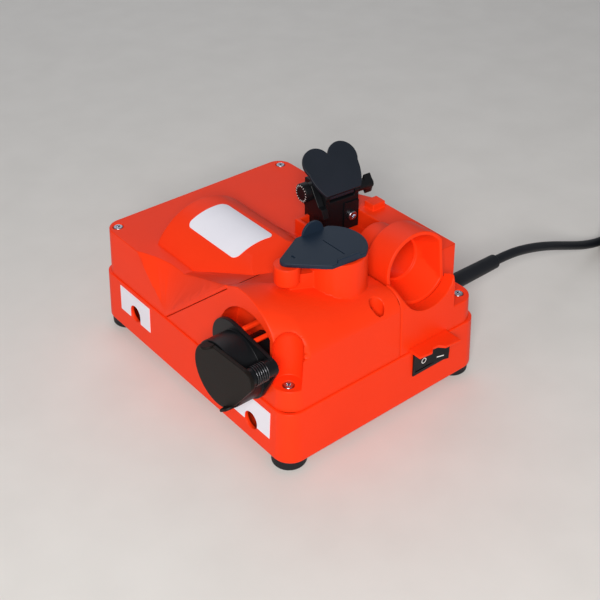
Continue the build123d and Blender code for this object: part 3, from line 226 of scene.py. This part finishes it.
# Rotor train: two bonded grinding wheels clamped between turned flanges by hexagon nuts,
# and a moulded black fan behind the motor.
def bonded_stone(name, colour, deep):
    """A bonded abrasive: a mosaic of grains with pits between them."""
    finish = bpy.data.materials.new(name)
    finish.use_nodes = True
    tree = finish.node_tree
    shader = tree.nodes["Principled BSDF"]
    shader.inputs["Roughness"].default_value = 0.9
    place = tree.nodes.new("ShaderNodeTexCoord")
    grains = tree.nodes.new("ShaderNodeTexVoronoi")
    grains.inputs["Scale"].default_value = 1400.0
    tint = tree.nodes.new("ShaderNodeValToRGB")
    tint.color_ramp.elements[0].color = (*colour, 1.0)
    tint.color_ramp.elements[1].position = 0.75
    tint.color_ramp.elements[1].color = (*deep, 1.0)
    bump = tree.nodes.new("ShaderNodeBump")
    bump.invert = True
    bump.inputs["Distance"].default_value = 0.0002
    link = tree.links.new
    link(place.outputs["Object"], grains.inputs["Vector"])
    link(grains.outputs["Distance"], tint.inputs["Fac"])
    link(tint.outputs["Color"], shader.inputs["Base Color"])
    link(grains.outputs["Distance"], bump.inputs["Height"])
    link(bump.outputs["Normal"], shader.inputs["Normal"])
    return finish


pale_stone = bonded_stone("pale_corundum", (0.50, 0.47, 0.43), (0.28, 0.26, 0.24))
black_nylon = moulded_plastic("black_nylon", (0.0050, 0.0056, 0.0070), (0.0038, 0.0043, 0.0055), 0.40,
                              level=0.22)
dress(pale_stone, "drill_wheel", "blade_wheel")
dress(ground_steel, "drill_wheel_flanges", "blade_wheel_flanges")
dress(zinc, "wheel_nuts")
dress(black_nylon, "cooling_fan")


# Wiring inside the tub: run capacitor in a pale can, terminal block, and the clamp that
# holds the lead behind its strain relief with two screws.
capacitor_can = moulded_plastic("capacitor_can", (0.62, 0.63, 0.62), (0.54, 0.55, 0.54), 0.35)
lead_rubber = moulded_plastic("lead_rubber", (0.008, 0.0095, 0.013), (0.006, 0.007, 0.010), 0.48,
                              grain=1200.0, depth=0.00003, level=0.3)
dress(capacitor_can, "run_capacitor")
dress(black_nylon, "terminal_block", "cord_clamp")
dress(lead_rubber, "inner_lead")
dress(zinc, "cord_clamp_screws")


# Upper housing: the other half of the red shell, moulded like the tub, with the wells for
# the screws, the scoop in front of the setting cup and the brackets beside the gauge.
finished(softened("upper_housing", "upper_housing_shell", housing_edge), red_abs, "machine",
         "red_plastic", "upper_housing")


# Drill chamber cover: the red half that lifts off for changing the wheel, with the top cup
# and the arched recess of the left port moulded in.
finished(softened("drill_chamber_cover", "drill_chamber_shell", housing_edge), red_abs, "machine",
         "red_plastic", "drill_chamber_cover")


# Wheel hood: the half round red cover over the blade wheel, moulded like the shell. It carries
# a plain white film label, and two more are stuck round the ports in the left wall.
label_white = moulded_plastic("label_white", (0.80, 0.79, 0.86), (0.76, 0.75, 0.82), 0.38,
                              grain=900.0, depth=0.00001)
finished(softened("wheel_hood", "wheel_hood_shell", housing_edge), red_abs, "machine",
         "red_plastic", "wheel_hood")
dress(label_white, "hood_label", "rear_port_label", "front_port_label")


# Left drill port: a moulded black nylon sleeve on pegs in the chamber's recess, with a
# swivelling lid of a browner black on a pin in the lug of its flange.
sleeve_edge = 0.0005
lid_edge = 0.0004
lid_black = moulded_plastic("lid_black", (0.0085, 0.0060, 0.0048), (0.0070, 0.0048, 0.0038), 0.52,
                            level=0.15)
finished(softened("left_drill_sleeve", "left_drill_sleeve_moulding", sleeve_edge), black_nylon, "machine",
         "black_plastic", "left_drill_sleeve")
finished(softened("left_lid", "left_lid_moulding", lid_edge), lid_black, "left_lid",
         "black_plastic", "left_lid")
dress(black_nylon, "left_lid_pin", "top_lid_pin")


# Lid spring: a torsion spring of dark hard drawn steel wire, wound round the lug of the left
# lid's pivot between the lid and the sleeve's flange.
spring_turns = 6.0
spring_radius = 0.00625
spring_length = 0.0095
spring_wire = 0.0004
spring_set_back = 0.0035


def sized_tree(name, sizes):
    """An empty node tree with one named input for each size, and those inputs' identifiers."""
    tree = bpy.data.node_groups.new(name, "GeometryNodeTree")
    tree.is_modifier = True
    socket = tree.interface.new_socket
    socket("Geometry", in_out="INPUT", socket_type="NodeSocketGeometry")
    inputs = {}
    for label, kind in sizes.items():
        inputs[label] = socket(label, in_out="INPUT", socket_type=kind).identifier
    socket("Geometry", in_out="OUTPUT", socket_type="NodeSocketGeometry")
    return tree, inputs


def set_in_place(tree, shape, middle, turn, finish):
    """Ends a tree: the shape is turned and moved to its place, made plain and given its finish."""
    stand = tree.nodes.new("GeometryNodeTransform")
    stand.inputs["Translation"].default_value = middle
    stand.inputs["Rotation"].default_value = turn
    solid = tree.nodes.new("GeometryNodeRealizeInstances")
    coat = tree.nodes.new("GeometryNodeSetMaterial")
    coat.inputs["Material"].default_value = finish
    made = tree.nodes.new("NodeGroupOutput")
    tree.links.new(shape, stand.inputs["Geometry"])
    tree.links.new(stand.outputs["Geometry"], solid.inputs["Geometry"])
    tree.links.new(solid.outputs["Geometry"], coat.inputs["Geometry"])
    tree.links.new(coat.outputs["Geometry"], made.inputs["Geometry"])


def made_by(tree, inputs, sizes, name):
    """The piece that a tree makes from the given sizes, as a plain mesh."""
    piece = bpy.data.objects.new(name, bpy.data.meshes.new(name))
    bpy.context.scene.collection.objects.link(piece)
    maker = piece.modifiers.new("maker", "NODES")
    maker.node_group = tree
    for label, size in sizes.items():
        maker[inputs[label]] = size
    made = piece.evaluated_get(bpy.context.evaluated_depsgraph_get())
    mesh = bpy.data.meshes.new_from_object(made)
    piece.modifiers.clear()
    piece.data = mesh
    return piece


spring_steel = brushed_metal("spring_steel", (0.13, 0.13, 0.14), (0.06, 0.06, 0.065), 0.30)
pivot_low, pivot_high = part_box("left_lid_pin")
spring_start = (pivot_low + pivot_high) / 2
spring_start.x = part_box("left_drill_sleeve")[0].x + spring_set_back
winding, winding_inputs = sized_tree("spring_winding", {
    "Turns": "NodeSocketFloat", "Coil Radius": "NodeSocketFloat", "Length": "NodeSocketFloat",
    "Wire Radius": "NodeSocketFloat"})
given = winding.nodes.new("NodeGroupInput")
helix = winding.nodes.new("GeometryNodeCurveSpiral")
helix.inputs["Resolution"].default_value = 32
wire = winding.nodes.new("GeometryNodeCurvePrimitiveCircle")
wire.inputs["Resolution"].default_value = 10
drawn = winding.nodes.new("GeometryNodeCurveToMesh")
drawn.inputs["Fill Caps"].default_value = True
link = winding.links.new
link(given.outputs["Turns"], helix.inputs["Rotations"])
link(given.outputs["Coil Radius"], helix.inputs["Start Radius"])
link(given.outputs["Coil Radius"], helix.inputs["End Radius"])
link(given.outputs["Length"], helix.inputs["Height"])
link(given.outputs["Wire Radius"], wire.inputs["Radius"])
link(helix.outputs["Curve"], drawn.inputs["Curve"])
link(wire.outputs["Curve"], drawn.inputs["Profile Curve"])
set_in_place(winding, drawn.outputs["Mesh"], spring_start, (0.0, pi / 2, 0.0), spring_steel)
lid_spring = made_by(winding, winding_inputs, {
    "Turns": spring_turns, "Coil Radius": spring_radius, "Length": spring_length,
    "Wire Radius": spring_wire}, "left_lid_spring")
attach(lid_spring, "machine")


# Top lid: a drop shaped plate with a thumb tab, moulded in blue-grey plastic. It swivels over
# the top cup on a pin.
slate_plastic = moulded_plastic("slate_plastic", (0.013, 0.024, 0.043), (0.010, 0.020, 0.037), 0.48,
                                level=0.22)
finished(softened("top_lid", "top_lid_moulding", lid_edge), slate_plastic, "top_lid",
         "grey_plastic", "top_lid")


# Setting cup: an open red cup lying in its well, moulded in the housing's plastic. It holds
# the drill while its stick-out is set.
finished(softened("setting_cup", "setting_cup_moulding", housing_edge), red_abs, "machine",
         "red_plastic", "setting_cup")


# Drill setting gauge: a black nylon block with a spring plate, a heart shaped flap on a pin
# with a wing nut, and a scale knob on a cross spindle.
gauge_block_edge = 0.0005
gauge_edge = 0.0004
knob_edge = 0.0003
flap_plastic = moulded_plastic("flap_plastic", (0.013, 0.017, 0.026), (0.010, 0.014, 0.021), 0.46,
                               level=0.25)
finished(softened("gauge_block", "gauge_block_moulding", gauge_block_edge), black_nylon, "machine",
         "black_plastic", "gauge_block")
finished(softened("gauge_flap", "gauge_flap_moulding", gauge_edge), flap_plastic, "flap",
         "black_plastic", "gauge_flap")
finished(softened("gauge_lever", "gauge_lever_moulding", gauge_edge), black_nylon, "knob",
         "black_plastic", "gauge_lever")
finished(softened("gauge_wing_nut", "gauge_wing_nut_moulding", gauge_edge), black_nylon, "machine",
         "black_plastic", "gauge_wing_nut")
finished(softened("gauge_knob", "gauge_knob_moulding", knob_edge), black_nylon, "knob",
         "black_plastic", "gauge_knob")
dress(black_nylon, "gauge_spring_plate", "gauge_flap_pin", "gauge_spindle")
dress(zinc, "gauge_screw")


# Knob scale: short white strokes hot stamped side by side round the outer face of the knob,
# close to its edge, so that the setting can be read from the left.
stroke_count = 18
stroke_ring_radius = 0.0059
stroke_size = (0.0013, 0.0005, 0.00012)
knob_half_width = 0.0030
white_print = moulded_plastic("white_print", (0.80, 0.80, 0.78), (0.70, 0.70, 0.68), 0.55, grain=3000.0)
knob_turn = next(j for j in frame["record"]["behaviour"]["joints"] if j["name"] == "gauge_knob_turn")
knob_axis = Vector(knob_turn["axis"]).normalized()
knob_low, knob_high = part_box("gauge_knob")
knob_face = (knob_low + knob_high) / 2 - knob_axis * knob_half_width
strokes, stroke_inputs = sized_tree("scale_strokes", {
    "Strokes": "NodeSocketInt", "Ring Radius": "NodeSocketFloat", "Stroke Size": "NodeSocketVector"})
given = strokes.nodes.new("NodeGroupInput")
ring = strokes.nodes.new("GeometryNodeMeshCircle")
stroke = strokes.nodes.new("GeometryNodeMeshCube")
spot = strokes.nodes.new("GeometryNodeInputPosition")
outward = strokes.nodes.new("FunctionNodeAlignEulerToVector")
repeat = strokes.nodes.new("GeometryNodeInstanceOnPoints")
link = strokes.links.new
link(given.outputs["Strokes"], ring.inputs["Vertices"])
link(given.outputs["Ring Radius"], ring.inputs["Radius"])
link(given.outputs["Stroke Size"], stroke.inputs["Size"])
link(spot.outputs["Position"], outward.inputs["Vector"])
link(ring.outputs["Mesh"], repeat.inputs["Points"])
link(stroke.outputs["Mesh"], repeat.inputs["Instance"])
link(outward.outputs["Rotation"], repeat.inputs["Rotation"])
set_in_place(strokes, repeat.outputs["Instances"], knob_face, knob_axis.to_track_quat("Z", "Y").to_euler(),
             white_print)
knob_scale = made_by(strokes, stroke_inputs, {
    "Strokes": stroke_count, "Ring Radius": stroke_ring_radius, "Stroke Size": stroke_size}, "knob_scale")
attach(knob_scale, "knob")


# Switch: a black nylon rocker in a clip-in body, set in the front wall under a red visor
# that is moulded like the housing.
switch_edge = 0.0004
visor_edge = 0.0005
finished(softened("switch_body", "switch_body_moulding", switch_edge), black_nylon, "machine",
         "black_plastic", "switch_body")
finished(softened("switch_rocker", "switch_rocker_moulding", switch_edge), black_nylon, "rocker",
         "black_plastic", "switch_rocker")
finished(softened("switch_visor", "switch_visor_moulding", visor_edge), red_abs, "machine",
         "red_plastic", "switch_visor")


# Switch marks: a ring on the off half and a bar on the on half of the rocker, pad printed in
# white ink as thin as paint.
ink_half = 0.00006
ring_points = 40
ring_outside, ring_inside = 0.0023, 0.0017
bar_half_length, bar_half_height = 0.0028, 0.0004
off_middle = Vector((0.04600, -0.10899, 0.03672))
off_right = Vector((1.0, 0.0, 0.0))
on_middle = Vector((0.06025, -0.11107, 0.03480))
on_right = Vector((0.9612, -0.2757, 0.0)).normalized()
mark_up = Vector((0.0, 0.0, 1.0))


def printed_mark(name, outline, hole, middle, right):
    """A thin closed layer of ink: an outline, with or without a hole, laid on a face."""
    work = bmesh.new()
    out = right.cross(mark_up)
    loops = []
    for path in ([outline, hole] if hole else [outline]):
        for lift in (-ink_half, ink_half):
            loops.append([work.verts.new(middle + right * a + mark_up * b + out * lift) for a, b in path])
    count = len(outline)
    for i in range(count):
        k = (i + 1) % count
        work.faces.new((loops[0][i], loops[0][k], loops[1][k], loops[1][i]))
        if hole:
            work.faces.new((loops[2][k], loops[2][i], loops[3][i], loops[3][k]))
            work.faces.new((loops[1][i], loops[1][k], loops[3][k], loops[3][i]))
            work.faces.new((loops[0][k], loops[0][i], loops[2][i], loops[2][k]))
    if not hole:
        work.faces.new(loops[1])
        work.faces.new(list(reversed(loops[0])))
    mesh = bpy.data.meshes.new(name)
    work.to_mesh(mesh)
    work.free()
    piece = bpy.data.objects.new(name, mesh)
    bpy.context.scene.collection.objects.link(piece)
    return finished(piece, white_print, "rocker", "label_film")


def circle(radius):
    """The points of a printed circle."""
    turns = [2 * pi * i / ring_points for i in range(ring_points)]
    return [(radius * cos(a), radius * sin(a)) for a in turns]


printed_mark("off_ring", circle(ring_outside), circle(ring_inside), off_middle, off_right)
printed_mark("on_bar", [(-bar_half_length, -bar_half_height), (bar_half_length, -bar_half_height),
                        (bar_half_length, bar_half_height), (-bar_half_length, bar_half_height)], [],
             on_middle, on_right)


# Housing screws: zinc plated steel pan heads with a cross recess. Five of them stand in the
# wells of the shell and hold it down to the tub.
dress(zinc, "housing_screws")


# Strain relief: a black rubber sleeve moulded round the lead where it leaves the right wall,
# tapered so that the lead bends gently.
relief_edge = 0.0008
finished(softened("strain_relief", "strain_relief_sleeve", relief_edge, steps=3), lead_rubber, "machine",
         "cord_rubber", "strain_relief")


# Mains cord: 7.5 mm round rubber flex, down from the strain relief to the bench and on into
# a tied coil of two layers with the plug beside it. The stops are in millimetres.
origin_shift = Vector((0.0136454, 0.0056298, 0.0))
lead_radius = 0.00375
low_z, high_z = 5.65, 13.75
lead_stops = [(150.27, -72.0, 48.5), (168.0, -72.0, 48.5), (195.0, -71.5, 42.5), (222.0, -70.5, 33.0),
              (248.0, -69.5, 22.0), (273.0, -68.9, 12.0), (297.0, -68.5, low_z), (314.5, -68.5, low_z)]
coil_middle = 322.0
coil_entry = -68.5
turn_radii = [54.325, 50.275, 46.225, 42.175, 38.125, 34.075]
climb_radius = 30.025
points_per_half = 8
half_turns = [(r, low_z, low_z) for r in turn_radii] + [(climb_radius, low_z, high_z)]
half_turns += [(r, high_z, high_z) for r in reversed(turn_radii)]
spread = 1 / (0.75 + 0.25 * cos(pi / points_per_half))
y, side = coil_entry, 1
for radius, start_z, end_z in half_turns:
    for i in range(points_per_half):
        share = (i + 0.5) / points_per_half
        reach = radius * spread
        lead_stops.append((coil_middle + side * reach * sin(pi * share),
                           y - side * radius + side * reach * cos(pi * share),
                           start_z + (end_z - start_z) * share))
    y -= side * 2 * radius
    side = -side
lead_stops += [(310.0, y, high_z), (280.0, y, 10.375), (250.0, y, 7.0), (242.5, y, 7.0)]
lead_curve = bpy.data.curves.new("mains_lead", "CURVE")
lead_curve.dimensions = "3D"
lead_curve.bevel_depth = lead_radius
lead_curve.bevel_resolution = 5
lead_curve.resolution_u = 8
lead_line = lead_curve.splines.new("NURBS")
lead_line.points.add(len(lead_stops) - 1)
for point, stop in zip(lead_line.points, lead_stops):
    point.co = (*(Vector(stop) / 1000 + origin_shift), 1.0)
lead_line.order_u = 3
lead_line.use_endpoint_u = True
lead = bpy.data.objects.new("mains_lead", lead_curve)
bpy.context.scene.collection.objects.link(lead)
finished(lead, lead_rubber, "machine", "cord_rubber", "mains_cord", "cord_coil")


# Plug and tie: a moulded rubber plug with two brass pins on the end of the lead, and a dark
# plastic strip that holds the coil.
plug_edge = 0.0004
pin_brass = brushed_metal("pin_brass", (0.80, 0.62, 0.30), (0.66, 0.49, 0.22), 0.28)
tie_strip = moulded_plastic("tie_strip", (0.03, 0.03, 0.034), (0.022, 0.022, 0.025), 0.5)
plug = finished(softened("mains_plug", "mains_plug_moulding", plug_edge), lead_rubber, "machine",
                "black_plastic", "mains_plug")
dress(pin_brass, "plug_pins")
dress(tie_strip, "coil_tie")


# Bench top: a plain pale matt board under the machine, lit softly by a wide lamp at the left
# front, a paler one behind and the room itself.
bench_half = 3
bench_corners = [(-bench_half, -bench_half, 0), (bench_half, -bench_half, 0), (bench_half, bench_half, 0),
                 (-bench_half, bench_half, 0)]
bench_board = moulded_plastic("bench_board", (0.74, 0.72, 0.69), (0.71, 0.69, 0.66), 0.75, grain=400.0)
bench_mesh = bpy.data.meshes.new("bench_top")
bench_mesh.from_pydata(bench_corners, [], [(0, 1, 2, 3)])
bench_mesh.materials.append(bench_board)
bench = bpy.data.objects.new("bench_top", bench_mesh)
bpy.context.scene.collection.objects.link(bench)

room = bpy.data.worlds.new("room")
room.use_nodes = True
room_light = room.node_tree.nodes["Background"]
room_light.inputs["Color"].default_value = (0.93, 0.95, 1.0, 1.0)
room_light.inputs["Strength"].default_value = 0.27
bpy.context.scene.world = room
lamp_aim = Vector((0.0, 0.0, 0.05))


def soft_lamp(name, power, size, place, colour):
    """A round soft lamp turned towards the machine."""
    lamp = bpy.data.lights.new(name, "AREA")
    lamp.shape = "DISK"
    lamp.size = size
    lamp.energy = power
    lamp.color = colour
    stand = bpy.data.objects.new(name, lamp)
    stand.location = place
    stand.rotation_euler = (lamp_aim - Vector(place)).to_track_quat("-Z", "Y").to_euler()
    bpy.context.scene.collection.objects.link(stand)


soft_lamp("key_lamp", power=27.0, size=0.6, place=(-0.95, -1.05, 0.95), colour=(1.0, 0.98, 0.95))
soft_lamp("sky_lamp", power=5.0, size=1.6, place=(0.6, 1.3, 1.3), colour=(0.92, 0.95, 1.0))


# Camera: it stands at the left front corner of the bench and looks down on the machine, at
# the photograph's height and angle.
eye = bpy.data.cameras.new("bench_camera")
eye.lens = 61.86
eye.sensor_width = 36.0
camera = bpy.data.objects.new("bench_camera", eye)
camera.location = (-0.37405, -0.48637, 0.48650)
camera_aim = Vector((0.05171, 0.03376, 0.00700))
camera.rotation_euler = (camera_aim - camera.location).to_track_quat("-Z", "Y").to_euler()
bpy.context.scene.collection.objects.link(camera)
bpy.context.scene.camera = camera
bpy.context.scene.view_settings.view_transform = "Standard"
